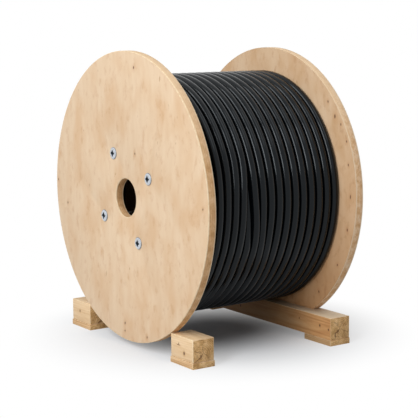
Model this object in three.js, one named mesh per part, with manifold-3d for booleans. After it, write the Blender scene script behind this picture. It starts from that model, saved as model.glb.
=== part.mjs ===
// Wooden cable drum: two plywood flanges, a barrel and four tie bolts, wound with a sheathed cable.
// The drum lies on its side, with its axis along X. The left flange rests on two short chocks, and the
// right flange sits in a curved seat cut into one long bearer. Millimetres, +Z up, floor at z = 0.

import * as THREE from 'three';
import { mergeVertices } from 'three/addons/utils/BufferGeometryUtils.js';
import Module from 'manifold-3d';

// ---------- driving dimensions ----------

const fit = 0.3; // gap wherever one piece rests on, in or against another

// flanges: round plywood discs
const flangeDiameter = 600;
const flangeThickness = 18;
const boreDiameter = 80;
const edgeChamfer = 1.2;

// the space between the flanges, and the tube that keeps them apart
const innerWidth = 344;
const barrelDiameter = 300;
const barrelWall = 16;
const grooveDepth = 6; // the barrel's ends stand in a groove in each flange

// cable, wound in level layers
const cableDiameter = 19;
const turnsPerLayer = 18;
const cableLayers = 6;

// tie bolts and the sleeve nuts at their far end
const boltCount = 4;
const boltCircleDiameter = 200;
const boltPhase = 28; // degrees, from -Y towards +Z
const shankDiameter = 10;
const shankChamfer = 1.2;
const headDiameter = 25;
const headHeight = 3.6;
const headRim = 0.9;
const recessSpan = 12.5;
const recessWaist = 6.4;
const recessDepth = 2.2;
const sleeveDiameter = 14;
const sleeveLength = 15;
const boltHoleClearance = 0.5;

// supports
const timberWidth = 50; // along X
const timberHeight = 46;
const boardThickness = 12;
const boardOverhang = 1; // past the timber, all round
const chockLength = 78; // along Y
const windingClearance = 1; // from the cable down to the supports' tops
const chockInset = 1; // from the left flange's outer face to the chock's outer side
const bearerOverhang = 16; // the bearer's ends reach this much further than the chocks
const bearerProud = 2.5; // past the right flange's outer face
const bearerBoardLength = 84;

// ---------- facets ----------

const drumSides = 60; // of everything that is round about the drum's own axis
const boltSides = 20;
const domeSteps = 3;
const turnAngles = [-75, -35, 0, 35]; // degrees from a turn's crown, the first one is the valley

// ---------- places worked out from the sizes ----------

const flangeRadius = flangeDiameter / 2;
const boreRadius = boreDiameter / 2;
const barrelRadius = barrelDiameter / 2;
const innerFace = innerWidth / 2;
const outerFace = innerFace + flangeThickness;
const cableRadius = cableDiameter / 2;
const layerRise = (cableDiameter * Math.sqrt(3)) / 2; // each layer nests into the valleys of the one below
const outerTurns = barrelRadius + cableRadius + (cableLayers - 1) * layerRise; // middle of the outer layer
const supportDrop = outerTurns + cableRadius + windingClearance; // from the axis down to the supports' tops
const supportTop = boardThickness + fit + timberHeight;
const axisHeight = supportTop + supportDrop;
const chockSpread = Math.sqrt((flangeRadius + fit) ** 2 - supportDrop ** 2); // where the rims meet the tops

// ---------- colours ----------

const plywood = new THREE.MeshStandardMaterial({ name: 'plywood', color: 0xe5c8a3, roughness: 0.7 });
const fibreboard = new THREE.MeshStandardMaterial({ name: 'fibreboard', color: 0x8a6f50, roughness: 0.9 });
const sheath = new THREE.MeshStandardMaterial({ name: 'cable_sheath', color: 0x1c1e20, roughness: 0.45 });
const zinc = new THREE.MeshStandardMaterial({ name: 'zinc_steel', color: 0xc4c8cc, roughness: 0.35, metalness: 1 });
const timber = new THREE.MeshStandardMaterial({ name: 'timber', color: 0xe2c08c, roughness: 0.75 });

// ---------- shapes ----------

const wasm = await Module();
wasm.setup();

/** A body of revolution about X. The outline is a closed loop of [x, radius], clockwise with x to the right. */
function turned(outline, sides) {
  const points = [...outline, outline[0]].map(([x, radius]) => new THREE.Vector2(radius, x));
  return new THREE.LatheGeometry(points, sides).rotateZ(-Math.PI / 2);
}

/** A body of revolution about X whose outline starts and ends on the axis. */
function turnedSolid(outline, sides) {
  const points = outline.map(([x, radius]) => new THREE.Vector2(radius, x));
  return new THREE.LatheGeometry(points, sides).rotateZ(-Math.PI / 2);
}

/** Mirrors an outline of [x, radius] to the other side and keeps it clockwise. */
function mirrored(outline) {
  return outline.map(([x, radius]) => [-x, radius]).reverse();
}

function toSolid(geometry) {
  const bare = geometry.clone();
  bare.deleteAttribute('normal');
  bare.deleteAttribute('uv');
  const merged = mergeVertices(bare, 1e-4);
  const triVerts = new Uint32Array(merged.index.array);
  return new wasm.Manifold(new wasm.Mesh({ numProp: 3, vertProperties: merged.attributes.position.array, triVerts }));
}

function toGeometry(solid) {
  const mesh = solid.getMesh();
  const geometry = new THREE.BufferGeometry();
  geometry.setAttribute('position', new THREE.BufferAttribute(mesh.vertProperties, 3));
  geometry.setIndex(new THREE.BufferAttribute(mesh.triVerts, 1));
  geometry.computeVertexNormals();
  return geometry;
}

function subtract(geometry, cutters) {
  return toGeometry(cutters.reduce((solid, cutter) => solid.subtract(toSolid(cutter)), toSolid(geometry)));
}

/** A cylinder along X, from x0 to x1. */
function rod(radius, x0, x1, sides) {
  const cylinder = new THREE.CylinderGeometry(radius, radius, x1 - x0, sides);
  return cylinder.rotateZ(-Math.PI / 2).translate((x0 + x1) / 2, 0, 0);
}

/** Where each tie bolt stands, as [y, z] from the drum's axis. */
const boltPlaces = Array.from({ length: boltCount }, (_, i) => {
  const angle = THREE.MathUtils.degToRad(boltPhase) + (i * 2 * Math.PI) / boltCount;
  const radius = boltCircleDiameter / 2;
  return [-radius * Math.cos(angle), radius * Math.sin(angle)];
});

// ---------- flanges ----------

/** One flange. Its bolt holes are as wide as what passes through them needs. */
function flange(side, throughDiameter) {
  const grooveInner = barrelRadius - barrelWall - fit;
  const grooveOuter = barrelRadius + fit;
  const outline = [
    [-outerFace, boreRadius + edgeChamfer],
    [-outerFace, flangeRadius - edgeChamfer],
    [-outerFace + edgeChamfer, flangeRadius],
    [-innerFace - edgeChamfer, flangeRadius],
    [-innerFace, flangeRadius - edgeChamfer],
    [-innerFace, grooveOuter],
    [-innerFace - grooveDepth, grooveOuter],
    [-innerFace - grooveDepth, grooveInner],
    [-innerFace, grooveInner],
    [-innerFace, boreRadius],
    [-outerFace + edgeChamfer, boreRadius],
  ];
  const disc = turned(side < 0 ? outline : mirrored(outline), drumSides);
  const holeRadius = throughDiameter / 2 + boltHoleClearance;
  const middle = (side * (innerFace + outerFace)) / 2;
  const holes = boltPlaces.map(([y, z]) =>
    rod(holeRadius, middle - flangeThickness, middle + flangeThickness, boltSides).translate(0, y, z),
  );
  return subtract(disc, holes);
}

// ---------- barrel and cable ----------

function barrel() {
  const end = innerFace + grooveDepth - fit;
  const outline = [
    [-end, barrelRadius - barrelWall],
    [-end, barrelRadius],
    [end, barrelRadius],
    [end, barrelRadius - barrelWall],
  ];
  return turned(outline, drumSides);
}

/** The wound cable, with the turns of its outer layer side by side. */
function cableWinding() {
  const end = innerFace - fit;
  const pitch = (2 * end) / turnsPerLayer;
  const valley = outerTurns + cableRadius * Math.cos(THREE.MathUtils.degToRad(turnAngles[0]));
  const outline = [[-end, barrelRadius + fit]];
  for (let turn = 0; turn < turnsPerLayer; turn += 1) {
    const centre = -end + (turn + 0.5) * pitch;
    outline.push([centre - pitch / 2, valley]);
    for (const degrees of turnAngles.slice(1)) {
      const angle = THREE.MathUtils.degToRad(degrees);
      outline.push([centre + cableRadius * Math.sin(angle), outerTurns + cableRadius * Math.cos(angle)]);
    }
  }
  outline.push([end, valley], [end, barrelRadius + fit]);
  return turned(outline, drumSides);
}

// ---------- tie bolts ----------

/** The domed head's outline on the -X side, from its crown on the axis to its rim on the flange. */
function headOutline() {
  const seat = -outerFace - fit;
  const radius = headDiameter / 2;
  const outline = [];
  for (let step = 0; step <= domeSteps; step += 1) {
    const angle = (step / domeSteps) * (Math.PI / 2);
    outline.push([seat - headRim - (headHeight - headRim) * Math.cos(angle), radius * Math.sin(angle)]);
  }
  outline.push([seat, radius]);
  return outline;
}

/** The four-pointed driving recess, cut into a head from its crown. */
function recess(side) {
  const star = new THREE.Shape();
  for (let point = 0; point < 8; point += 1) {
    const angle = (point * Math.PI) / 4;
    const radius = (point % 2 === 0 ? recessSpan : recessWaist) / 2;
    const move = point === 0 ? 'moveTo' : 'lineTo';
    star[move](radius * Math.cos(angle), radius * Math.sin(angle));
  }
  const depth = 2 * recessDepth;
  const crown = outerFace + fit + headHeight;
  return new THREE.ExtrudeGeometry(star, { depth, bevelEnabled: false })
    .translate(0, 0, -depth / 2)
    .rotateY(Math.PI / 2)
    .translate(side * crown, 0, 0);
}

const shankEnd = outerFace - 2 * fit;

function tieBolt() {
  const shankRadius = shankDiameter / 2;
  const outline = [
    ...headOutline(),
    [-outerFace - fit, shankRadius],
    [shankEnd - shankChamfer, shankRadius],
    [shankEnd, shankRadius - shankChamfer],
    [shankEnd, 0],
  ];
  return subtract(turnedSolid(outline, boltSides), [recess(-1)]);
}

function tieNut() {
  const boreWall = shankDiameter / 2 + fit;
  const sleeveEnd = outerFace - sleeveLength;
  const outline = [
    [shankEnd + fit, 0],
    [shankEnd + fit, boreWall],
    [sleeveEnd, boreWall],
    [sleeveEnd, sleeveDiameter / 2],
    [outerFace + fit, sleeveDiameter / 2],
    ...mirrored(headOutline()),
  ];
  return subtract(turnedSolid(outline, boltSides), [recess(1)]);
}

// ---------- supports ----------

/** A box between two corners. */
function block([x0, y0, z0], [x1, y1, z1]) {
  const box = new THREE.BoxGeometry(x1 - x0, y1 - y0, z1 - z0);
  return box.translate((x0 + x1) / 2, (y0 + y1) / 2, (z0 + z1) / 2);
}

/** A timber that stands on its board: x0 is its left side, y0 and y1 are its ends. */
function timberBlock(x0, y0, y1) {
  return block([x0, y0, boardThickness + fit], [x0 + timberWidth, y1, supportTop]);
}

function board(x0, y0, y1) {
  const past = boardOverhang;
  return block([x0 - past, y0 - past, 0], [x0 + timberWidth + past, y1 + past, boardThickness]);
}

/** The long bearer, with a seat for the right flange's rim cut out of its outer top edge. */
function bearer(x0, reach) {
  const rim = rod(flangeRadius + fit, innerFace - fit, x0 + 2 * timberWidth, drumSides);
  return subtract(timberBlock(x0, -reach, reach), [rim.translate(0, 0, axisHeight)]);
}

// ---------- the assembly ----------

const object = new THREE.Group();

function add(name, geometry, material, parent = object) {
  const mesh = new THREE.Mesh(geometry, material);
  mesh.name = name;
  parent.add(mesh);
  return mesh;
}

const drum = new THREE.Group();
drum.position.z = axisHeight;
object.add(drum);

add('flange_left', flange(-1, shankDiameter), plywood, drum);
add('flange_right', flange(1, sleeveDiameter), plywood, drum);
add('barrel', barrel(), fibreboard, drum);
add('cable_winding', cableWinding(), sheath, drum);
boltPlaces.forEach(([y, z], i) => {
  add(`tie_bolt_${i + 1}`, tieBolt(), zinc, drum).position.set(0, y, z);
  add(`tie_nut_${i + 1}`, tieNut(), zinc, drum).position.set(0, y, z);
});

const chockX = -outerFace + chockInset;
const chockEnds = [chockSpread, chockSpread + chockLength];
add('chock_front', timberBlock(chockX, -chockEnds[1], -chockEnds[0]), timber);
add('chock_front_board', board(chockX, -chockEnds[1], -chockEnds[0]), timber);
add('chock_back', timberBlock(chockX, ...chockEnds), timber);
add('chock_back_board', board(chockX, ...chockEnds), timber);

const bearerX = outerFace + bearerProud - timberWidth;
const bearerReach = chockSpread + chockLength + bearerOverhang;
add('bearer', bearer(bearerX, bearerReach), timber);
add('bearer_front_board', board(bearerX, -bearerReach, -bearerReach + bearerBoardLength), timber);
add('bearer_back_board', board(bearerX, bearerReach - bearerBoardLength, bearerReach), timber);

export default object;
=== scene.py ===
import math

import bpy
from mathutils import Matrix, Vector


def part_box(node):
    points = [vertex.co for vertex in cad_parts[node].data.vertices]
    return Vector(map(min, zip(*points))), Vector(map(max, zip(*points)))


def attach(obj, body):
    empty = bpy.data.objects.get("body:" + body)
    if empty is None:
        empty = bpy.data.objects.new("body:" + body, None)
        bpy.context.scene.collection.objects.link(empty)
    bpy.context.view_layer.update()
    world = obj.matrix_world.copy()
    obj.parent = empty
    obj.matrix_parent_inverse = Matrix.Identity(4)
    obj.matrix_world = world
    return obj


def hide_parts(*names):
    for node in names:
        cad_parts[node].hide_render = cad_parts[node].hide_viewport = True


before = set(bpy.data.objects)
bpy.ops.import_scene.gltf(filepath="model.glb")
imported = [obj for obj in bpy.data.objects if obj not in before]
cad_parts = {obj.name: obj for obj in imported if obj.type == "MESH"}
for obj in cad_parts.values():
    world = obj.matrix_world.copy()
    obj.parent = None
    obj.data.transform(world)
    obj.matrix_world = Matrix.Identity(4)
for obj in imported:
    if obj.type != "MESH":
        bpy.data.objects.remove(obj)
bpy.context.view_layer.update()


# ---------------------------------------------------------------- Barrel
# The barrel is a tube of brown board, wound in a spiral from glued strips.
# Its ends sit in a round groove in each flange, and only its bore is seen.

MM = 0.001
AXIS_HEIGHT = (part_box("barrel")[0].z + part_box("barrel")[1].z) / 2


def colour(srgb):
    """A colour written as sRGB hex, as the linear values that a shader takes."""
    parts = [int(srgb[i:i + 2], 16) / 255 for i in (1, 3, 5)]
    return [p / 12.92 if p <= 0.04045 else ((p + 0.055) / 1.055) ** 2.4 for p in parts] + [1.0]


def add_node(material, kind, inputs, **settings):
    """Adds a node. Its inputs are numbers, colours or sockets; stops are the places and colours of a ramp.
    A Mix node set to RGBA takes its two colours at 6 and 7, and gives its own at output 2."""
    node = material.node_tree.nodes.new(kind)
    for name, value in settings.items():
        if name == "stops":
            while len(node.color_ramp.elements) < len(value):
                node.color_ramp.elements.new(0.5)
            for element, (position, shade) in zip(node.color_ramp.elements, value):
                element.position = position
                element.color = colour(shade)
        else:
            setattr(node, name, value)
    for name, value in inputs.items():
        if isinstance(value, bpy.types.NodeSocket):
            material.node_tree.links.new(value, node.inputs[name])
        else:
            node.inputs[name].default_value = value
    return node


def tint(material, base, tone, value, start, full, most=1.0, **settings):
    """Lays a tone over the base colour: none of it where value is at start, and most where it is at full."""
    share = add_node(material, "ShaderNodeMapRange", {
        "Value": value, "From Min": start, "From Max": full, "To Max": most})
    return add_node(material, "ShaderNodeMix", {
        0: share.outputs[0], 6: base, 7: colour(tone)}, data_type="RGBA", **settings).outputs[2]


def empty_material(name):
    material = bpy.data.materials.new(name)
    material.use_nodes = True
    material.node_tree.nodes.clear()
    return material


# Kraft board: matt brown paper with a fine fibre, and a darker glued seam every 90 mm of the spiral.
kraft_board = empty_material("kraft_board")
spot = add_node(kraft_board, "ShaderNodeTexCoord", {}).outputs["Object"]
from_axis = add_node(kraft_board, "ShaderNodeMapping", {"Vector": spot, "Location": (0, 0, -AXIS_HEIGHT)})
part = add_node(kraft_board, "ShaderNodeSeparateXYZ", {"Vector": from_axis.outputs[0]})
turned = add_node(kraft_board, "ShaderNodeMath", {
    0: part.outputs["Y"], 1: part.outputs["Z"]}, operation="ARCTAN2")
along = add_node(kraft_board, "ShaderNodeMath", {
    0: part.outputs["X"], 1: 2 * math.pi / (90 * MM), 2: turned.outputs[0]}, operation="MULTIPLY_ADD")
wave = add_node(kraft_board, "ShaderNodeMath", {0: along.outputs[0]}, operation="COSINE")
fibre = add_node(kraft_board, "ShaderNodeTexNoise", {
    "Vector": spot, "Scale": 260.0, "Detail": 6.0, "Roughness": 0.65})
brown = add_node(kraft_board, "ShaderNodeValToRGB", {
    "Fac": fibre.outputs["Fac"]}, stops=[(0.3, "#5d442d"), (0.7, "#7d6044")])
seamed = tint(kraft_board, brown.outputs["Color"], "#33241a", wave.outputs[0], 0.985, 1.0)
pressed = add_node(kraft_board, "ShaderNodeBump", {
    "Height": fibre.outputs["Fac"], "Strength": 0.3, "Distance": 0.3 * MM})
board = add_node(kraft_board, "ShaderNodeBsdfPrincipled", {
    "Base Color": seamed, "Roughness": 0.9, "IOR": 1.45, "Normal": pressed.outputs[0]})
add_node(kraft_board, "ShaderNodeOutputMaterial", {"Surface": board.outputs[0]})

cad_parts["barrel"].data.materials.clear()
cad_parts["barrel"].data.materials.append(kraft_board)


# ---------------------------------------------------------------- Flanges
# Two discs cut from 18 mm birch plywood and sanded. Each has a spindle bore, four bolt holes
# and a groove for the barrel, and its arrises are eased by hand.

FLANGE_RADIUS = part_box("flange_left")[1].y
FLANGE_SIDES = 288
BORE_RADIUS = 40 * MM
GROOVE_RADII = (150.3 * MM, 133.7 * MM)  # the barrel's wall, with 0.3 mm to spare on both sides
GROOVE_DEPTH = 6 * MM
ROUND_SIDES = 96  # of the bore, the groove and the hidden layers of cable
BOLT_CIRCLE_RADIUS = 100 * MM
BOLT_ANGLES = [math.radians(28 + 90 * i) for i in range(4)]
BOLT_HOLE_RADIUS = 7.5 * MM
BOLT_HOLE_SIDES = 32
EASED = 1.3 * MM
PAST_FACE = 10 * MM  # how far a cutter stands out of what it cuts
CORE_PAST_FACE = 100 * MM


def choose(*pieces):
    """Selects these pieces and nothing else, and makes the first the active one."""
    bpy.ops.object.select_all(action="DESELECT")
    for piece in pieces:
        piece.select_set(True)
    bpy.context.view_layer.objects.active = pieces[0]


def disc(name, x_low, x_high, radius, sides, y=0.0, z=0.0):
    """A plain round bar along X, at y and z from the drum's axis, ready to be cut or shaped."""
    bpy.ops.object.select_all(action="DESELECT")
    bpy.ops.mesh.primitive_cylinder_add(
        vertices=sides, radius=radius, depth=x_high - x_low, rotation=(0, math.pi / 2, 0),
        location=((x_low + x_high) / 2, y, AXIS_HEIGHT + z))
    bar = bpy.context.object
    bar.name = name
    bpy.ops.object.transform_apply(location=True, rotation=True, scale=True)
    return bar


def apply_modifier(piece, kind, **settings):
    choose(piece)
    modifier = piece.modifiers.new(kind.lower(), kind)
    for name, value in settings.items():
        setattr(modifier, name, value)
    bpy.ops.object.modifier_apply(modifier=modifier.name)


def cut(piece, cutter):
    """Takes the cutter's shape out of the piece, and deletes the cutter."""
    apply_modifier(piece, "BOOLEAN", operation="DIFFERENCE", object=cutter, solver="EXACT")
    bpy.data.objects.remove(cutter)


def ease(piece, width, segments, sharper_than=40):
    """Rounds the arrises of a piece that turn by more than this many degrees."""
    apply_modifier(piece, "BEVEL", width=width, segments=segments, limit_method="ANGLE",
                   angle_limit=math.radians(sharper_than))


def smooth(piece, degrees):
    choose(piece)
    bpy.ops.object.shade_smooth_by_angle(angle=math.radians(degrees))


def make_flange(name, outer_x, inner_x):
    low, high = min(outer_x, inner_x), max(outer_x, inner_x)
    start, end = low - PAST_FACE, high + PAST_FACE
    flange = disc(name, low, high, FLANGE_RADIUS, FLANGE_SIDES)
    groove = disc("groove", inner_x - GROOVE_DEPTH, inner_x + GROOVE_DEPTH, GROOVE_RADII[0], ROUND_SIDES)
    core = disc("groove_core", low - CORE_PAST_FACE, high + CORE_PAST_FACE, GROOVE_RADII[1], ROUND_SIDES)
    cut(groove, core)
    cut(flange, groove)
    cut(flange, disc("bore", start, end, BORE_RADIUS, ROUND_SIDES))
    for angle in BOLT_ANGLES:
        y, z = -BOLT_CIRCLE_RADIUS * math.cos(angle), BOLT_CIRCLE_RADIUS * math.sin(angle)
        cut(flange, disc("bolt_hole", start, end, BOLT_HOLE_RADIUS, BOLT_HOLE_SIDES, y, z))
    ease(flange, EASED, 3)
    smooth(flange, 35)
    return flange


# Birch face veneer: peeled from the log, sanded and bare. Its figure is cloudy and hardly darker
# than the rest: warm patches that lean a little, small stains, short brown ticks and a few pin knots.
def birch_veneer(name, pin_knots, seed, wood_tones, patch_tone, stain_tone, painted_foot_shade=0.0):
    """pin_knots are y, z from the axis, and the knot's half width, in millimetres. seed moves the figure, so
    that each flange has its own. painted_foot_shade is how much darker and warmer the veneer is painted at
    its foot than at its top: painted shade."""
    sway = 30 * MM
    veneer = empty_material(name)
    spot = add_node(veneer, "ShaderNodeTexCoord", {}).outputs["Object"]
    centred = add_node(veneer, "ShaderNodeMapping", {
        "Vector": spot, "Location": (seed, 0, -AXIS_HEIGHT)}).outputs[0]
    drift = add_node(veneer, "ShaderNodeTexNoise", {"Vector": centred, "Scale": 9.0, "Detail": 2.0})
    swayed = add_node(veneer, "ShaderNodeVectorMath", {
        0: drift.outputs["Color"], 1: (0.0, sway, sway), 2: centred}, operation="MULTIPLY_ADD").outputs[0]

    # streaks 8 mm wide, faint under the sanding, and pores 2 mm wide, as coarse as they need to be to show
    streak_place = add_node(veneer, "ShaderNodeMapping", {
        "Vector": swayed, "Scale": (1, 1, 0.16)}).outputs[0]
    streak = add_node(veneer, "ShaderNodeTexNoise", {"Vector": streak_place, "Scale": 80.0, "Detail": 3.0})
    pore_place = add_node(veneer, "ShaderNodeMapping", {
        "Vector": centred, "Scale": (1, 1, 0.12)}).outputs[0]
    pore = add_node(veneer, "ShaderNodeTexNoise", {"Vector": pore_place, "Scale": 480.0, "Detail": 2.0})
    faint = add_node(veneer, "ShaderNodeMapRange", {
        "Value": streak.outputs["Fac"], "From Min": 0.2, "From Max": 0.8})
    wood = add_node(veneer, "ShaderNodeMix", {
        0: faint.outputs[0], 6: colour(wood_tones[0]), 7: colour(wood_tones[1])}, data_type="RGBA")

    # warm patches 40 mm wide that lean to one side, and stains 15 mm wide where the grain dips
    leaning = add_node(veneer, "ShaderNodeMapping", {
        "Vector": swayed, "Rotation": (0.35, 0, 0), "Scale": (1, 1, 0.62)})
    patch = add_node(veneer, "ShaderNodeTexNoise", {
        "Vector": leaning.outputs[0], "Scale": 20.0, "Detail": 3.0, "Roughness": 0.5})
    shade = tint(veneer, wood.outputs[2], patch_tone, patch.outputs["Fac"], 0.42, 0.66, 0.75)
    stain = add_node(veneer, "ShaderNodeTexNoise", {
        "Vector": leaning.outputs[0], "Scale": 62.0, "Detail": 4.0, "Roughness": 0.6})
    shade = tint(veneer, shade, stain_tone, stain.outputs["Fac"], 0.54, 0.74, 0.55)

    # ticks 3 mm wide and 10 mm long, in groups
    tick_place = add_node(veneer, "ShaderNodeMapping", {
        "Vector": swayed, "Rotation": (-0.2, 0, 0), "Scale": (1, 1, 0.34)})
    tick = add_node(veneer, "ShaderNodeTexNoise", {
        "Vector": tick_place.outputs[0], "Scale": 150.0, "Detail": 2.0})
    group = add_node(veneer, "ShaderNodeTexNoise", {"Vector": centred, "Scale": 10.0, "Detail": 1.0})
    grouped = add_node(veneer, "ShaderNodeMapRange", {
        "Value": group.outputs["Fac"], "From Min": 0.46, "From Max": 0.56, "To Min": -0.06,
        "To Max": 0.0})
    raised_tick = add_node(veneer, "ShaderNodeMath", {
        0: tick.outputs["Fac"], 1: grouped.outputs[0]}, operation="ADD")
    shade = tint(veneer, shade, "#ab7d4f", raised_tick.outputs[0], 0.70, 0.76, 0.55)

    # pin knots, each a warm halo and a dark heart. The sway moves the figure by half its width on average,
    # so their places are moved with it.
    for y, z, half_width in pin_knots:
        away = add_node(veneer, "ShaderNodeVectorMath", {
            0: swayed, 1: (seed, y * MM + sway / 2, z * MM + sway / 2)}, operation="SUBTRACT")
        flat = add_node(veneer, "ShaderNodeVectorMath", {
            0: away.outputs[0], 1: (0, 1, 0.62)}, operation="MULTIPLY")
        far = add_node(veneer, "ShaderNodeVectorMath", {0: flat.outputs[0]}, operation="LENGTH")
        shade = tint(veneer, shade, "#c18b5c", far.outputs["Value"],
                     4 * half_width * MM, half_width * MM, 0.35)
        shade = tint(veneer, shade, "#5c3b25", far.outputs["Value"],
                     1.25 * half_width * MM, 0.5 * half_width * MM, 0.95)

    # painted shade: the veneer is painted darker and warmer towards its foot, for the shade under the
    # winding
    if painted_foot_shade:
        part = add_node(veneer, "ShaderNodeSeparateXYZ", {"Vector": spot})
        shade = tint(veneer, shade, "#edd7bf", part.outputs["Z"], 0.45, 0.08, painted_foot_shade,
                     blend_type="MULTIPLY")
    raised = add_node(veneer, "ShaderNodeBump", {
        "Height": pore.outputs["Fac"], "Strength": 0.2, "Distance": 0.15 * MM})
    sanded = add_node(veneer, "ShaderNodeBsdfPrincipled", {
        "Base Color": shade, "Roughness": 0.62, "IOR": 1.5, "Normal": raised.outputs[0]})
    add_node(veneer, "ShaderNodeOutputMaterial", {"Surface": sanded.outputs[0]})
    return veneer


# Plywood edge: nine plies across 18 mm, end grain and long grain by turns, so it is brown and mottled,
# flecked where the saw tore it, and pale in the face veneers at both sides.
FLANGE_MIDDLE = (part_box("flange_right")[0].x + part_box("flange_right")[1].x) / 2


def plywood_edge(name, tones):
    ply_edge = empty_material(name)
    spot = add_node(ply_edge, "ShaderNodeTexCoord", {}).outputs["Object"]
    part = add_node(ply_edge, "ShaderNodeSeparateXYZ", {"Vector": spot})
    wander = add_node(ply_edge, "ShaderNodeTexNoise", {"Vector": spot, "Scale": 60.0, "Detail": 2.0})
    waved = add_node(ply_edge, "ShaderNodeMath", {
        0: wander.outputs["Fac"], 1: 1.2 * MM, 2: part.outputs["X"]}, operation="MULTIPLY_ADD")
    counted = add_node(ply_edge, "ShaderNodeMath", {
        0: waved.outputs[0], 1: math.pi / (2 * MM)}, operation="MULTIPLY")
    ply = add_node(ply_edge, "ShaderNodeMath", {0: counted.outputs[0]}, operation="SINE")
    fleck_place = add_node(ply_edge, "ShaderNodeMapping", {
        "Vector": spot, "Scale": (1, 0.4, 0.4)}).outputs[0]
    fleck = add_node(ply_edge, "ShaderNodeTexNoise", {
        "Vector": fleck_place, "Scale": 330.0, "Detail": 4.0, "Roughness": 0.7})
    blotch = add_node(ply_edge, "ShaderNodeTexNoise", {
        "Vector": spot, "Scale": 70.0, "Detail": 4.0, "Roughness": 0.6})
    tone = add_node(ply_edge, "ShaderNodeMath", {
        0: ply.outputs[0], 1: 0.06, 2: blotch.outputs["Fac"]}, operation="MULTIPLY_ADD")
    edge_wood = add_node(ply_edge, "ShaderNodeValToRGB", {
        "Fac": tone.outputs[0]}, stops=list(zip((0.30, 0.45, 0.56, 0.72), tones)))
    shade = tint(ply_edge, edge_wood.outputs["Color"], "#94683b", fleck.outputs["Fac"], 0.57, 0.68, 0.42)
    # the pale face veneers, at both sides of the sheet
    unsigned = add_node(ply_edge, "ShaderNodeMath", {0: part.outputs["X"]}, operation="ABSOLUTE")
    off_middle = add_node(ply_edge, "ShaderNodeMath", {
        0: unsigned.outputs[0], 1: FLANGE_MIDDLE}, operation="SUBTRACT")
    depth = add_node(ply_edge, "ShaderNodeMath", {0: off_middle.outputs[0]}, operation="ABSOLUTE")
    shade = tint(ply_edge, shade, "#f0dabb", depth.outputs[0], 6.4 * MM, 7.2 * MM, 0.9)
    # towards the top the edge is painted paler: painted light, for the light that falls on the rim from
    # above
    shade = tint(ply_edge, shade, "#f0d3ae", part.outputs["Z"], 0.40, 0.56, 0.75)
    sawn = add_node(ply_edge, "ShaderNodeBump", {
        "Height": fleck.outputs["Fac"], "Strength": 0.35, "Distance": 0.4 * MM})
    edge = add_node(ply_edge, "ShaderNodeBsdfPrincipled", {
        "Base Color": shade, "Roughness": 0.78, "IOR": 1.5, "Normal": sawn.outputs[0]})
    add_node(ply_edge, "ShaderNodeOutputMaterial", {"Surface": edge.outputs[0]})
    return ply_edge


# Eased arris: the paper takes the corner down to clean wood, and its pale colour is also a painted
# highlight, for the light that the rounded corner catches.
def sanded_highlit_arris(name, low_tone, high_tone):
    arris = empty_material(name)
    spot = add_node(arris, "ShaderNodeTexCoord", {}).outputs["Object"]
    uneven = add_node(arris, "ShaderNodeTexNoise", {
        "Vector": spot, "Scale": 120.0, "Detail": 4.0, "Roughness": 0.65})
    pale = add_node(arris, "ShaderNodeValToRGB", {
        "Fac": uneven.outputs["Fac"]}, stops=[(0.38, low_tone), (0.6, high_tone)])
    rubbed = add_node(arris, "ShaderNodeBump", {
        "Height": uneven.outputs["Fac"], "Strength": 0.2, "Distance": 0.2 * MM})
    wood = add_node(arris, "ShaderNodeBsdfPrincipled", {
        "Base Color": pale.outputs["Color"], "Roughness": 0.7, "IOR": 1.5, "Normal": rubbed.outputs[0]})
    add_node(arris, "ShaderNodeOutputMaterial", {"Surface": wood.outputs[0]})
    return arris


birch_arris = sanded_highlit_arris("birch_arris_sanded_highlit", "#e0c59e", "#efdbb9")

# Pin knots as birch_veneer takes them, and then each flange with its tones of wood, patch and stain. The
# right flange's tones are browner than the left's, and its veneer is painted darker and warmer towards its
# foot: both painted shade, for the shade that the left flange and the winding cast on it.
LEFT_KNOTS = [(-38.7, 262.9, 2.2), (-37, 94.9, 1.6), (291, 8, 1.6), (15.5, -266, 2.0), (14, -283, 1.6),
              (-72.4, -275.2, 1.8), (-284, 6.6, 1.6), (246, -30, 1.8)]
RIGHT_KNOTS = [(-212, 190, 1.8), (-233.5, 159.4, 2.4), (-251, 147.8, 1.6), (-266, 115, 1.8),
               (-273, 64, 1.8), (-281, 1, 2.0), (-273, -69, 2.0), (-247, -149, 1.6), (-181, -214, 1.8),
               (120, 236, 2.0), (236, 130, 1.8), (262, -84, 2.2), (84, -262, 2.0)]

for name, knots, seed, tones, edge_tones in (
        ("left", LEFT_KNOTS, 0.0, (("#dfc2a0", "#e7ceb0"), "#d9b58e", "#c99d72"),
         ("#bc8f5a", "#cda070", "#d9af80", "#e6c399")),
        # the right flange: browner tones and a darker foot, as painted shade
        ("right", RIGHT_KNOTS, 3.7, (("#d8b792", "#dec1a0"), "#cba378", "#b5855a", 1.0),
         ("#cf9f6b", "#deb384", "#eac59d", "#f1d5b4"))):
    low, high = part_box("flange_" + name)
    outer, inner = (low.x, high.x) if name == "left" else (high.x, low.x)
    flange = make_flange("plywood_flange_" + name, outer, inner)
    flange.data.materials.append(birch_veneer("birch_veneer_" + name, knots, seed, *tones))
    flange.data.materials.append(plywood_edge("birch_plywood_edge_" + name, edge_tones))
    flange.data.materials.append(birch_arris)
    for face in flange.data.polygons:
        # veneer on the flat faces, plies on the rim and in the holes, and the arris between them
        face.material_index = 0 if abs(face.normal.x) > 0.97 else 1 if abs(face.normal.x) < 0.2 else 2
    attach(flange, "root")
    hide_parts("flange_" + name)


# ---------------------------------------------------------------- Tie bolts and sleeve nuts
# Four zinc-plated bolts run through the barrel from the left flange, into four sleeve nuts in the right
# one. Both have the same low domed head, forged, with a four-pointed driving recess.

HEAD_RADIUS = 12.5 * MM
HEAD_HEIGHT = 3.6 * MM
RIM_HEIGHT = 0.9 * MM
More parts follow.
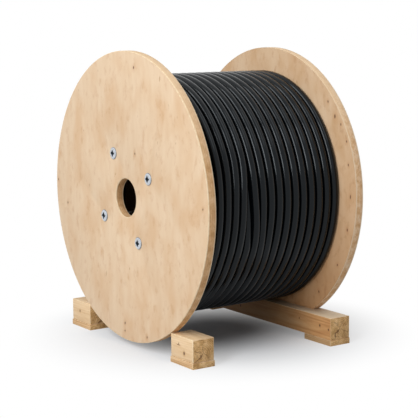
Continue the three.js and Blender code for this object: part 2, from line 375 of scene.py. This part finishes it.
# the dome inwards from the rim: its radius as a share of the head's, and its height in mm
HEAD_STEPS = [(0.985, 0.9), (0.93, 1.6), (0.82, 2.15), (0.66, 2.55), (0.46, 2.8), (0.26, 2.9)]
RECESS_POINT = 8.6 * MM
RECESS_WAIST = 5.0 * MM
RECESS_DEPTH = 2.3 * MM
RECESS_FLOOR = RECESS_DEPTH - HEAD_HEIGHT
RECESS_TAPER = (1.1, 0.78)  # how wide the recess's cutter is outside the head and at its floor
SHANK_RADIUS = {"bolt": 5 * MM, "nut": 7 * MM}


# Zinc plating: a bright, slightly blue metal, dulled by handling. The rim is left rougher by the die, and it
# and the recess are darker zinc: painted shade, for the shade round the rim and inside the recess.
def zinc_plating(name, low_tone, high_tone, roughness):
    plating = empty_material(name)
    spot = add_node(plating, "ShaderNodeTexCoord", {}).outputs["Object"]
    worn = add_node(plating, "ShaderNodeTexNoise", {"Vector": spot, "Scale": 380.0, "Detail": 4.0})
    tone = add_node(plating, "ShaderNodeValToRGB", {
        "Fac": worn.outputs["Fac"]}, stops=[(0.35, low_tone), (0.65, high_tone)])
    dulled = add_node(plating, "ShaderNodeMapRange", {
        "Value": worn.outputs["Fac"], "From Min": 0.3, "From Max": 0.7,
        "To Min": roughness - 0.08, "To Max": roughness + 0.08})
    grained = add_node(plating, "ShaderNodeBump", {
        "Height": worn.outputs["Fac"], "Strength": 0.15, "Distance": 0.1 * MM})
    metal = add_node(plating, "ShaderNodeBsdfPrincipled", {
        "Base Color": tone.outputs["Color"], "Metallic": 1.0, "Roughness": dulled.outputs[0],
        "Normal": grained.outputs[0]})
    add_node(plating, "ShaderNodeOutputMaterial", {"Surface": metal.outputs[0]})
    return plating


zinc = zinc_plating("zinc_plated_steel", "#b4bac2", "#dadee3", 0.33)
shaded_recess_zinc = zinc_plating("zinc_recess_painted_shade", "#10171e", "#252f39", 0.5)
shaded_rim_zinc = zinc_plating("zinc_rim_painted_shade", "#7c828b", "#9ca2aa", 0.45)


def select_faces(piece, towards):
    """Selects the piece's faces that look along X (1) or against it (-1), and goes into edit mode."""
    bpy.ops.object.mode_set(mode="EDIT")
    bpy.ops.mesh.select_mode(type="FACE")
    bpy.ops.mesh.select_all(action="DESELECT")
    bpy.ops.object.mode_set(mode="OBJECT")
    for face in piece.data.polygons:
        face.select = towards * face.normal.x > 0.9
    bpy.ops.object.mode_set(mode="EDIT")


def face_outwards(piece):
    """Turns all faces of a closed piece outwards."""
    choose(piece)
    bpy.ops.object.mode_set(mode="EDIT")
    bpy.ops.mesh.select_all(action="SELECT")
    bpy.ops.mesh.normals_make_consistent(inside=False)
    bpy.ops.object.mode_set(mode="OBJECT")


def domed_head(shank_radius, shank_length):
    """A head on the X axis, with its back at x = 0, its dome towards -X and its shank along +X."""
    head = disc("head", -RIM_HEIGHT, 0.0, HEAD_RADIUS, 64, z=-AXIS_HEIGHT)
    select_faces(head, -1)
    size, height = 1.0, RIM_HEIGHT / MM
    for next_size, next_height in HEAD_STEPS:
        bpy.ops.mesh.inset(thickness=(size - next_size) * HEAD_RADIUS)
        bpy.ops.transform.translate(value=(-(next_height - height) * MM, 0, 0))
        size, height = next_size, next_height
    select_faces(head, 1)
    bpy.ops.mesh.inset(thickness=HEAD_RADIUS - shank_radius)
    bpy.ops.mesh.extrude_region_move(TRANSFORM_OT_translate={"value": (shank_length, 0, 0)})
    bpy.ops.object.mode_set(mode="OBJECT")

    star = disc("recess", -HEAD_HEIGHT - 1 * MM, RECESS_FLOOR, RECESS_POINT, 8, z=-AXIS_HEIGHT)
    for corner in star.data.vertices:
        reach = math.hypot(corner.co.y, corner.co.z)
        point = abs(corner.co.y) < 0.1 * reach or abs(corner.co.z) < 0.1 * reach
        wanted = (RECESS_POINT if point else RECESS_WAIST) * RECESS_TAPER[corner.co.x > -HEAD_HEIGHT]
        corner.co.y *= wanted / reach
        corner.co.z *= wanted / reach
    cut(head, star)
    ease(head, 0.22 * MM, 2, 32)
    smooth(head, 40)
    for finish in (zinc, shaded_recess_zinc, shaded_rim_zinc):
        head.data.materials.append(finish)
    for face in head.data.polygons:
        # painted shade: darker zinc on the walls and the floor of the recess, and on the rim round the dome
        reach = math.hypot(face.center.y, face.center.z)
        steep = face.normal.x > -0.7 or face.center.x > RECESS_FLOOR - 0.2 * MM
        in_recess = reach < RECESS_POINT and face.center.x < 0 and steep
        on_rim = reach > 0.9 * HEAD_RADIUS and face.center.x < 0
        face.material_index = 1 if in_recess else 2 if on_rim else 0
    return head


for kind in ("bolt", "nut"):
    low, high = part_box(f"tie_{kind}_1")
    shank_length = high.x - low.x - HEAD_HEIGHT
    pattern = domed_head(SHANK_RADIUS[kind], shank_length)
    for number in range(1, 5):
        low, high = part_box(f"tie_{kind}_{number}")
        middle = (low + high) / 2
        choose(pattern)
        bpy.ops.object.duplicate()
        fixing = bpy.context.object
        fixing.name = f"zinc_{kind}_{number}"
        if kind == "nut":
            bpy.ops.transform.mirror(orient_type="GLOBAL", constraint_axis=(True, False, False))
        back = low.x + HEAD_HEIGHT if kind == "bolt" else high.x - HEAD_HEIGHT
        fixing.location = (back, middle.y, middle.z)
        bpy.ops.object.transform_apply(location=True, rotation=True, scale=True)
        face_outwards(fixing)
        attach(fixing, "root")
        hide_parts(f"tie_{kind}_{number}")
    bpy.data.objects.remove(pattern)


# ---------------------------------------------------------------- Cable
# One length of 19 mm power cable with a black sheath, wound side by side in six layers.
# Each turn lies straight across the front and shifts over at the back. Over the top of the drum one
# turn of the outer layer has sunk between its neighbours, and it comes up again at the front.

CABLE_RADIUS = 9.3 * MM
NOMINAL_RADIUS = 9.5  # mm
LAYER_RISE = 16.2  # mm, less than the cable's diameter, because turns lie in the valleys of the layer below
OUTER_TURN_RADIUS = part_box("cable_winding")[1].y - NOMINAL_RADIUS * MM
WINDING_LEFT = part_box("cable_winding")[0].x
STEPS_PER_TURN = 120
CROSSING = 40  # degrees on each side of the back in which a turn shifts over
SUNK_TURN = 6
# How far along the winding each turn lies, in mm. Over the top the others spread, because one has sunk.
# At the front all lie side by side, and the last ones a little apart.
TOP_PLACES = [NOMINAL_RADIUS + 20.275 * i for i in range(17)]
TOP_PLACES.insert(SUNK_TURN, 121.0)
FRONT_PLACES = [NOMINAL_RADIUS + 18.65 * i + 0.15 * max(i - 10, 0) ** 2 for i in range(18)]
UNDER_TURNS = 17
UNDER_STEPS_PER_TURN = 60
UNDER_START, UNDER_PITCH = 19.0, 18.9  # mm along the winding
INNER_LAYERS_RADIUS = 211 * MM
BARREL_WAY_RADIUS, BARREL_WAY_END = 151 * MM, 300 * MM


def eased(value, start, end):
    """0 before start, 1 after end, and a smooth rise between."""
    share = min(max((value - start) / (end - start), 0.0), 1.0)
    return share * share * (3 - 2 * share)


def across(number, degrees):
    """How far along the winding a turn lies, in mm. 0 degrees is the front, 90 the top and -90 the floor."""
    last = len(FRONT_PLACES) - 1
    front, top = FRONT_PLACES[number], TOP_PLACES[number]
    # a turn on the left of the sunk one leaves its place at the front between -2 and 24 degrees, and one on
    # its right does so lower down, the further away it lies
    if number < SUNK_TURN:
        place = front + (top - front) * eased(degrees, -2, 24)
    else:
        later = number - SUNK_TURN - 1
        place = front + (top - front) * eased(degrees, max(-22 - 11 * later, -85), 6 - 8 * later)
    # at the back it shifts from its place over the top to the next turn's place under the drum
    if degrees > 180 - CROSSING and number < last:
        place += (FRONT_PLACES[number + 1] - top) * eased(degrees, 180 - CROSSING, 180 + CROSSING)
    if degrees < CROSSING - 180 and number > 0:
        place += (TOP_PLACES[number - 1] - front) * (1 - eased(degrees, -180 - CROSSING, CROSSING - 180))
    return place


def sunk(number, degrees):
    """How deep a turn lies below its layer, in mm: as deep as the gap between its neighbours makes it."""
    # the cable's two ends run down into the layers below, at the back
    if number == 0 and degrees < CROSSING - 180:
        return LAYER_RISE * (1 - eased(degrees, -180 - CROSSING, CROSSING - 180)) * 2
    if number == len(FRONT_PLACES) - 1 and degrees > 180 - CROSSING:
        return LAYER_RISE * eased(degrees, 180 - CROSSING, 180 + CROSSING) * 2
    # the sunk turn goes down at the front, and stays down past the back, where it counts as the next one
    is_down = number == SUNK_TURN and degrees > -60 or number == SUNK_TURN + 1 and degrees < -130
    if not is_down:
        return 0.0
    half_gap = (across(number + 1, degrees) - across(number - 1, degrees)) / 2
    return math.sqrt(max((2 * CABLE_RADIUS / MM) ** 2 - half_gap ** 2, 0.0))


def tube(name, path, radius, resolution):
    """A round cable along a path, as a mesh with closed ends."""
    curve = bpy.data.curves.new(name, "CURVE")
    curve.dimensions = "3D"
    curve.bevel_depth = radius
    curve.bevel_resolution = resolution
    curve.use_fill_caps = True
    spline = curve.splines.new("POLY")
    spline.points.add(len(path) - 1)
    for point, spot in zip(spline.points, path):
        point.co = (*spot, 1.0)
    cable = bpy.data.objects.new(name, curve)
    bpy.context.scene.collection.objects.link(cable)
    choose(cable)
    bpy.ops.object.convert(target="MESH")
    cable = bpy.context.object
    face_outwards(cable)
    smooth(cable, 50)
    return cable


def on_turn(along, degrees, radius):
    """The middle of the cable, along in mm from the winding's left end, at this angle and radius."""
    angle = math.radians(degrees)
    return WINDING_LEFT + along * MM, -radius * math.cos(angle), AXIS_HEIGHT + radius * math.sin(angle)


outer_path, under_path = [], []
for number in range(len(FRONT_PLACES)):
    for step in range(STEPS_PER_TURN):
        degrees = -180 + 360 * step / STEPS_PER_TURN
        radius = OUTER_TURN_RADIUS - sunk(number, degrees) * MM
        outer_path.append(on_turn(across(number, degrees), degrees, radius))
for step in range(UNDER_TURNS * UNDER_STEPS_PER_TURN):
    degrees = -180 + 360 * step / UNDER_STEPS_PER_TURN
    radius = OUTER_TURN_RADIUS - LAYER_RISE * MM - CABLE_RADIUS
    under_path.append(on_turn(UNDER_START + UNDER_PITCH * step / UNDER_STEPS_PER_TURN, degrees, radius))

outer_layer = tube("cable_outer_layer", outer_path, CABLE_RADIUS, 6)
under_layer = tube("cable_under_layer", under_path, CABLE_RADIUS, 2)
inner_layers = disc("cable_inner_layers", WINDING_LEFT + 1 * MM, -WINDING_LEFT - 1 * MM,
                    INNER_LAYERS_RADIUS, ROUND_SIDES)
cut(inner_layers, disc("barrel_way", -BARREL_WAY_END, BARREL_WAY_END, BARREL_WAY_RADIUS, ROUND_SIDES))
ease(inner_layers, 2 * MM, 2)
smooth(inner_layers, 35)

# Cable sheath: extruded black plastic, satin, with the faint ripple and scuffs of a drawn and wound cable.
sheath = empty_material("extruded_black_sheath")
spot = add_node(sheath, "ShaderNodeTexCoord", {}).outputs["Object"]
ripple = add_node(sheath, "ShaderNodeTexNoise", {"Vector": spot, "Scale": 90.0, "Detail": 3.0})
scuff = add_node(sheath, "ShaderNodeTexNoise", {
    "Vector": spot, "Scale": 600.0, "Detail": 4.0, "Roughness": 0.6})
black = add_node(sheath, "ShaderNodeValToRGB", {
    "Fac": scuff.outputs["Fac"]}, stops=[(0.35, "#020406"), (0.70, "#06090d")])
satin = add_node(sheath, "ShaderNodeMapRange", {
    "Value": ripple.outputs["Fac"], "From Min": 0.3, "From Max": 0.7, "To Min": 0.13, "To Max": 0.20})
drawn = add_node(sheath, "ShaderNodeBump", {
    "Height": scuff.outputs["Fac"], "Strength": 0.1, "Distance": 0.1 * MM})
plastic = add_node(sheath, "ShaderNodeBsdfPrincipled", {
    "Base Color": black.outputs["Color"], "Roughness": satin.outputs[0], "IOR": 1.30,
    "Specular Tint": colour("#f0f9ff"), "Normal": drawn.outputs[0]})
add_node(sheath, "ShaderNodeOutputMaterial", {"Surface": plastic.outputs[0]})

for layer in (outer_layer, under_layer, inner_layers):
    layer.data.materials.append(sheath)
    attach(layer, "root")
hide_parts("cable_winding")


# ---------------------------------------------------------------- Chocks and bearer
# The left flange rests on two short blocks of pine, each on a thin board. The right flange sits in a
# round seat sawn in a long pine bearer, which has a board under each end. All are sawn to size and bare.

SAWN_EDGE = 1.4 * MM
BOARD_EDGE = SAWN_EDGE / 3
SEAT_LEFT, SEAT_RADIUS = 171.7 * MM, 300.3 * MM  # 0.3 mm clear of the flange's inner face and of its rim


def sawn_block(name, low, high):
    """A sawn block between two corners, its arrises lightly knocked off."""
    bpy.ops.object.select_all(action="DESELECT")
    middle, size = (low + high) / 2, high - low
    bpy.ops.mesh.primitive_cube_add(size=1, location=middle, scale=size)
    block = bpy.context.object
    block.name = name
    bpy.ops.object.transform_apply(location=True, rotation=True, scale=True)
    return block


# Sawn pine: growth rings 3 to 4 mm apart round the pith, so long faces are striped and ends are ringed.
# Ends are darker and rougher, with shakes that open from the heart.
def sawn_pine(name, pith, end_grain, tones, knots=(), shakes=0.0, painted_shade=0.0):
    """pith is the heart's x and z, and knots are x, y, z and half sizes along y and z, all in millimetres.
    shakes is how far they reach, in millimetres. painted_shade is how much a long timber is painted darker
    along its middle, as painted shade of the drum above it, and such a timber also has its top painted
    paler, as painted light from above."""
    pine = empty_material(name)
    spot = add_node(pine, "ShaderNodeTexCoord", {}).outputs["Object"]
    centred = add_node(pine, "ShaderNodeMapping", {
        "Vector": spot, "Location": (-pith[0] * MM, 0, -pith[1] * MM)}).outputs[0]
    long_way = add_node(pine, "ShaderNodeMapping", {"Vector": spot, "Scale": (1, 0.12, 1)}).outputs[0]
    sway = add_node(pine, "ShaderNodeTexNoise", {"Vector": long_way, "Scale": 38.0, "Detail": 2.0})
    swayed = add_node(pine, "ShaderNodeVectorMath", {
        0: sway.outputs["Color"], 1: (0.010, 0.0, 0.010), 2: centred},
        operation="MULTIPLY_ADD").outputs[0]
    across_grain = add_node(pine, "ShaderNodeVectorMath", {0: swayed, 1: (1, 0, 1)}, operation="MULTIPLY")
    far = add_node(pine, "ShaderNodeVectorMath", {0: across_grain.outputs[0]}, operation="LENGTH")
    counted = add_node(pine, "ShaderNodeMath", {
        0: far.outputs["Value"], 1: 2 * math.pi / (3.6 * MM)}, operation="MULTIPLY")
    ring = add_node(pine, "ShaderNodeMath", {0: counted.outputs[0]}, operation="SINE")
    blotch = add_node(pine, "ShaderNodeTexNoise", {
        "Vector": long_way, "Scale": 60.0, "Detail": 4.0, "Roughness": 0.6})
    fibre_place = add_node(pine, "ShaderNodeMapping", {
        "Vector": spot, "Scale": (1, 1 if end_grain else 0.07, 1)}).outputs[0]
    fibre = add_node(pine, "ShaderNodeTexNoise", {
        "Vector": fibre_place, "Scale": 330.0 if end_grain else 480.0, "Detail": 4.0, "Roughness": 0.7})
    tone = add_node(pine, "ShaderNodeMath", {
        0: ring.outputs[0], 1: 0.07 if end_grain else 0.06, 2: blotch.outputs["Fac"]},
        operation="MULTIPLY_ADD")
    wood = add_node(pine, "ShaderNodeValToRGB", {
        "Fac": tone.outputs[0]}, stops=list(zip((0.28, 0.44, 0.56, 0.75), tones)))
    shade = tint(pine, wood.outputs["Color"], "#8f6433", fibre.outputs["Fac"], 0.55, 0.72,
                 0.6 if end_grain else 0.2)
    if end_grain:
        # dark pockets of late wood and resin, 4 mm across
        pocket = add_node(pine, "ShaderNodeTexNoise", {
            "Vector": swayed, "Scale": 200.0, "Detail": 3.0, "Roughness": 0.6})
        shade = tint(pine, shade, "#9a6c3c", pocket.outputs["Fac"], 0.54, 0.66, 0.6)
    if end_grain and shakes:
        # two bent cracks that cross in the heart and narrow outwards
        part = add_node(pine, "ShaderNodeSeparateXYZ", {"Vector": centred})
        angle = add_node(pine, "ShaderNodeMath", {
            0: part.outputs["X"], 1: part.outputs["Z"]}, operation="ARCTAN2")
        bent = add_node(pine, "ShaderNodeTexNoise", {"Vector": spot, "Scale": 45.0, "Detail": 3.0})
        turned = add_node(pine, "ShaderNodeMath", {
            0: bent.outputs["Fac"], 1: 2.2, 2: angle.outputs[0]}, operation="MULTIPLY_ADD")
        doubled = add_node(pine, "ShaderNodeMath", {0: turned.outputs[0], 1: 2.0}, operation="MULTIPLY")
        ray = add_node(pine, "ShaderNodeMath", {0: doubled.outputs[0]}, operation="SINE")
        ray_width = add_node(pine, "ShaderNodeMath", {
            0: ray.outputs[0], 1: far.outputs["Value"]}, operation="MULTIPLY")
        off_ray = add_node(pine, "ShaderNodeMath", {0: ray_width.outputs[0]}, operation="ABSOLUTE")
        crack = add_node(pine, "ShaderNodeMapRange", {
            "Value": off_ray.outputs[0], "From Min": 2.0 * MM, "From Max": 0.7 * MM})
        reach = add_node(pine, "ShaderNodeMapRange", {
            "Value": far.outputs["Value"], "From Min": shakes * MM, "From Max": 0.7 * shakes * MM,
            "To Max": 0.8})
        split = add_node(pine, "ShaderNodeMath", {
            0: crack.outputs[0], 1: reach.outputs[0]}, operation="MULTIPLY")
        shade = add_node(pine, "ShaderNodeMix", {
            0: split.outputs[0], 6: shade, 7: colour("#6b4524")}, data_type="RGBA").outputs[2]
    if painted_shade:
        # the top painted paler, as painted light from above, and over it painted shade of the drum along the
        # middle, which fades towards both ends
        place = add_node(pine, "ShaderNodeSeparateXYZ", {"Vector": spot})
        off_centre = add_node(pine, "ShaderNodeMath", {0: place.outputs["Y"]}, operation="ABSOLUTE")
        painted_shade_share = add_node(pine, "ShaderNodeMapRange", {
            "Value": off_centre.outputs[0], "From Min": 0.235, "From Max": 0.10, "To Max": painted_shade},
            interpolation_type="SMOOTHSTEP")
        painted_light_facing = add_node(pine, "ShaderNodeSeparateXYZ", {
            "Vector": add_node(pine, "ShaderNodeNewGeometry", {}).outputs["Normal"]})
        shade = tint(pine, shade, "#f9e6c8", painted_light_facing.outputs["Z"], 0.80, 0.95, 0.8)
        shade = add_node(pine, "ShaderNodeMix", {
            0: painted_shade_share.outputs[0], 6: shade, 7: colour("#4a2b0e")}, data_type="RGBA").outputs[2]
    # knots, each a warm halo and a dark heart, which reach 5 mm into the wood
    for x, y, z, half_long, half_high in knots:
        away = add_node(pine, "ShaderNodeVectorMath", {
            0: spot, 1: (x * MM, y * MM, z * MM)}, operation="SUBTRACT")
        flat = add_node(pine, "ShaderNodeVectorMath", {
            0: away.outputs[0], 1: (1 / (5 * MM), 1 / (half_long * MM), 1 / (half_high * MM))},
            operation="MULTIPLY")
        gap = add_node(pine, "ShaderNodeVectorMath", {0: flat.outputs[0]}, operation="LENGTH")
        shade = tint(pine, shade, "#b98550", gap.outputs["Value"], 2.4, 1.0, 0.4)
        shade = tint(pine, shade, "#4a2f1b", gap.outputs["Value"], 1.15, 0.65, 0.9)
    sawn = add_node(pine, "ShaderNodeBump", {
        "Height": fibre.outputs["Fac"], "Strength": 0.5 if end_grain else 0.3,
        "Distance": (0.6 if end_grain else 0.3) * MM})
    bare = add_node(pine, "ShaderNodeBsdfPrincipled", {
        "Base Color": shade, "Roughness": 0.82 if end_grain else 0.7, "IOR": 1.5,
        "Normal": sawn.outputs[0]})
    add_node(pine, "ShaderNodeOutputMaterial", {"Surface": bare.outputs[0]})
    return pine


# Tones of pine, from late wood to early wood. Old boards are brown, and fresh blocks are pale.
PALE_TONES = ("#d8b68b", "#e3c399", "#eacca5", "#f0d8b5")
BROWN_TONES = ("#ab7f50", "#b98f5f", "#c59e70", "#d2af86")
BOARD_TONES = ("#bf9566", "#d6b184", "#e2c197", "#ebd0ab")
BEARER_TONES = ("#bf8650", "#d29b64", "#dfac74", "#ebbf90")
END_TONES = ("#ab8350", "#cba067", "#dfb781", "#ecca9a")
pine_arris = sanded_highlit_arris("pine_arris", "#e6c598", "#f4dfbb")


def finish_timber(piece, node, pith, tones, knots=(), shakes=0.0, painted_shade=0.0):
    """Eases a timber, gives it its wood and puts it in its node's place. Only thick timbers have shakes."""
    ease(piece, SAWN_EDGE if shakes else BOARD_EDGE, 2)
    smooth(piece, 35)
    piece.data.materials.append(sawn_pine(node + "_pine", pith, False, tones, knots, 0.0, painted_shade))
    piece.data.materials.append(sawn_pine(node + "_pine_end", pith, True, END_TONES, knots, shakes))
    piece.data.materials.append(pine_arris)
    for face in piece.data.polygons:
        # end grain at both ends, long grain on flat faces and in the seat, and the arris between them
        flattest = max(abs(part) for part in face.normal)
        on_seat = abs(face.normal.x) < 0.02
        face.material_index = 1 if abs(face.normal.y) > 0.97 else 0 if flattest > 0.97 or on_seat else 2
    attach(piece, "root")
    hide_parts(node)


CHOCK_KNOTS = {
    "chock_front": [(-189, -190, 40, 5.0, 0.9), (-189, -191, 42.5, 0.9, 2.0), (-189, -210, 26.5, 2.8, 3.8)],
    "chock_back": [(-189, 208, 35.6, 1.8, 3.0)]}
for node, pith, shakes, tones in (
        ("chock_front", (-166, 30), 24.0, PALE_TONES), ("chock_front_board", (-150, 60), 0.0, BOARD_TONES),
        ("chock_back", (-158, 26), 22.0, PALE_TONES), ("chock_back_board", (-170, -40), 0.0, BOARD_TONES)):
    block = sawn_block("pine_" + node, *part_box(node))
    finish_timber(block, node, pith, tones, CHOCK_KNOTS.get(node, ()), shakes)

BEARER_KNOTS = [(142.5, -153, 41, 1.6, 2.6), (142.5, -222, 38, 2.2, 2.8), (142.5, -250, 34, 2.0, 2.6),
                (142.5, 60, 30, 2.6, 3.4), (192.5, -180, 40, 2.4, 3.2), (192.5, 120, 34, 2.2, 3.0)]
low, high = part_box("bearer")
bearer = sawn_block("pine_bearer", low, high)
cut(bearer, disc("seat", SEAT_LEFT, high.x + PAST_FACE, SEAT_RADIUS, FLANGE_SIDES))
# the bearer is painted darker along its middle, as painted shade of the drum, and paler on top, as painted
# light
finish_timber(bearer, "bearer", (168, 36), BEARER_TONES, BEARER_KNOTS, shakes=30.0, painted_shade=0.55)
for node, pith in (("bearer_front_board", (150, 50)), ("bearer_back_board", (186, -30))):
    finish_timber(sawn_block("pine_" + node, *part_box(node)), node, pith, BROWN_TONES)


# ---------------------------------------------------------------- Floor and light
# A seamless pale studio floor that fades into a white room, two tall soft lamps on the left, one low and
# one high, and a weak soft one above the front.

LAMPS_AIM = (0, 0, 0.31)


def sees_white(surroundings):
    """1 for a camera, glossy or transmission ray, which sees its surroundings white, and 0 for others."""
    ray = add_node(surroundings, "ShaderNodeLightPath", {})
    either = add_node(surroundings, "ShaderNodeMath", {
        0: ray.outputs["Is Camera Ray"], 1: ray.outputs["Is Glossy Ray"]}, operation="MAXIMUM")
    return add_node(surroundings, "ShaderNodeMath", {
        0: either.outputs[0], 1: ray.outputs["Is Transmission Ray"]}, operation="MAXIMUM").outputs[0]


bpy.ops.object.select_all(action="DESELECT")
bpy.ops.mesh.primitive_plane_add(size=40, location=(0, 0, 0))
floor = bpy.context.object
floor.name = "studio_floor"
paper = empty_material("white_background_paper")
spot = add_node(paper, "ShaderNodeTexCoord", {}).outputs["Object"]
# Near the drum camera and glossy rays see the lit floor as grey #d8dce2, which fades to white emission from
# 0.06 to 0.45 m round a spot near the drum: besides the real shadow, this grey round the drum is painted
# shade.
shadow_place = add_node(paper, "ShaderNodeMapping", {"Vector": spot, "Location": (-0.03, 0, 0)}).outputs[0]
from_middle = add_node(paper, "ShaderNodeVectorMath", {0: shadow_place}, operation="LENGTH")
away = add_node(paper, "ShaderNodeMapRange", {
    "Value": from_middle.outputs["Value"], "From Min": 0.06, "From Max": 0.45},
    interpolation_type="SMOOTHSTEP")
any_view = sees_white(paper)
blend = add_node(paper, "ShaderNodeMath", {0: away.outputs[0], 1: any_view}, operation="MULTIPLY")
pale = add_node(paper, "ShaderNodeBsdfDiffuse", {"Color": colour("#cdcdcd")})
painted_grey_floor = add_node(paper, "ShaderNodeBsdfDiffuse", {"Color": colour("#d8dce2")})
near = add_node(paper, "ShaderNodeMixShader", {0: any_view, 1: pale.outputs[0], 2: painted_grey_floor.outputs[0]})
white = add_node(paper, "ShaderNodeEmission", {"Color": (1, 1, 1, 1), "Strength": 1.0})
faded = add_node(paper, "ShaderNodeMixShader", {
    0: blend.outputs[0], 1: near.outputs[0], 2: white.outputs[0]})
add_node(paper, "ShaderNodeOutputMaterial", {"Surface": faded.outputs[0]})
floor.data.materials.append(paper)

room = bpy.data.worlds.new("studio_room")
bpy.context.scene.world = room
room.use_nodes = True
room.node_tree.nodes.clear()
dim = add_node(room, "ShaderNodeBackground", {"Color": (1, 1, 1, 1), "Strength": 0.27})
bright = add_node(room, "ShaderNodeBackground", {"Color": (1, 1, 1, 1), "Strength": 1.0})
walls = add_node(room, "ShaderNodeMixShader", {
    0: sees_white(room), 1: dim.outputs[0], 2: bright.outputs[0]})
add_node(room, "ShaderNodeOutputWorld", {"Surface": walls.outputs[0]})


def soft_lamp(name, place, size, power, lean=0.0):
    """size is the lamp's width and height, and lean turns it about its own aim, in degrees."""
    bpy.ops.object.light_add(type="AREA", location=place)
    lamp = bpy.context.object
    lamp.name = name
    lamp.data.shape = "RECTANGLE"
    lamp.data.size, lamp.data.size_y = size
    lamp.data.energy = power
    direction = lamp.location.copy()
    for i in range(3):
        direction[i] = LAMPS_AIM[i] - place[i]
    lamp.rotation_euler = direction.to_track_quat("-Z", "Y").to_euler()
    lamp.rotation_euler.rotate_axis("Z", math.radians(lean))


soft_lamp("key_lamp", (-3.60, -1.76, 2.34), (1.1, 2.6), 104, 23)
soft_lamp("high_lamp", (-2.70, 0.45, 3.87), (1.1, 2.6), 63, 72)
soft_lamp("front_lamp", (0.30, -1.60, 3.00), (1.2, 2.0), 13)


# ---------------------------------------------------------------- Camera
# A long lens, a little above the drum and off its left front corner.

bpy.ops.object.camera_add(location=(-1.5441, -2.2770, 0.6713),
                          rotation=[math.radians(a) for a in (81.709, 0.462, -34.496)])
camera = bpy.context.object
camera.data.lens = 111.95
camera.data.sensor_width = 36
bpy.context.scene.camera = camera
bpy.context.scene.view_settings.view_transform = "Standard"
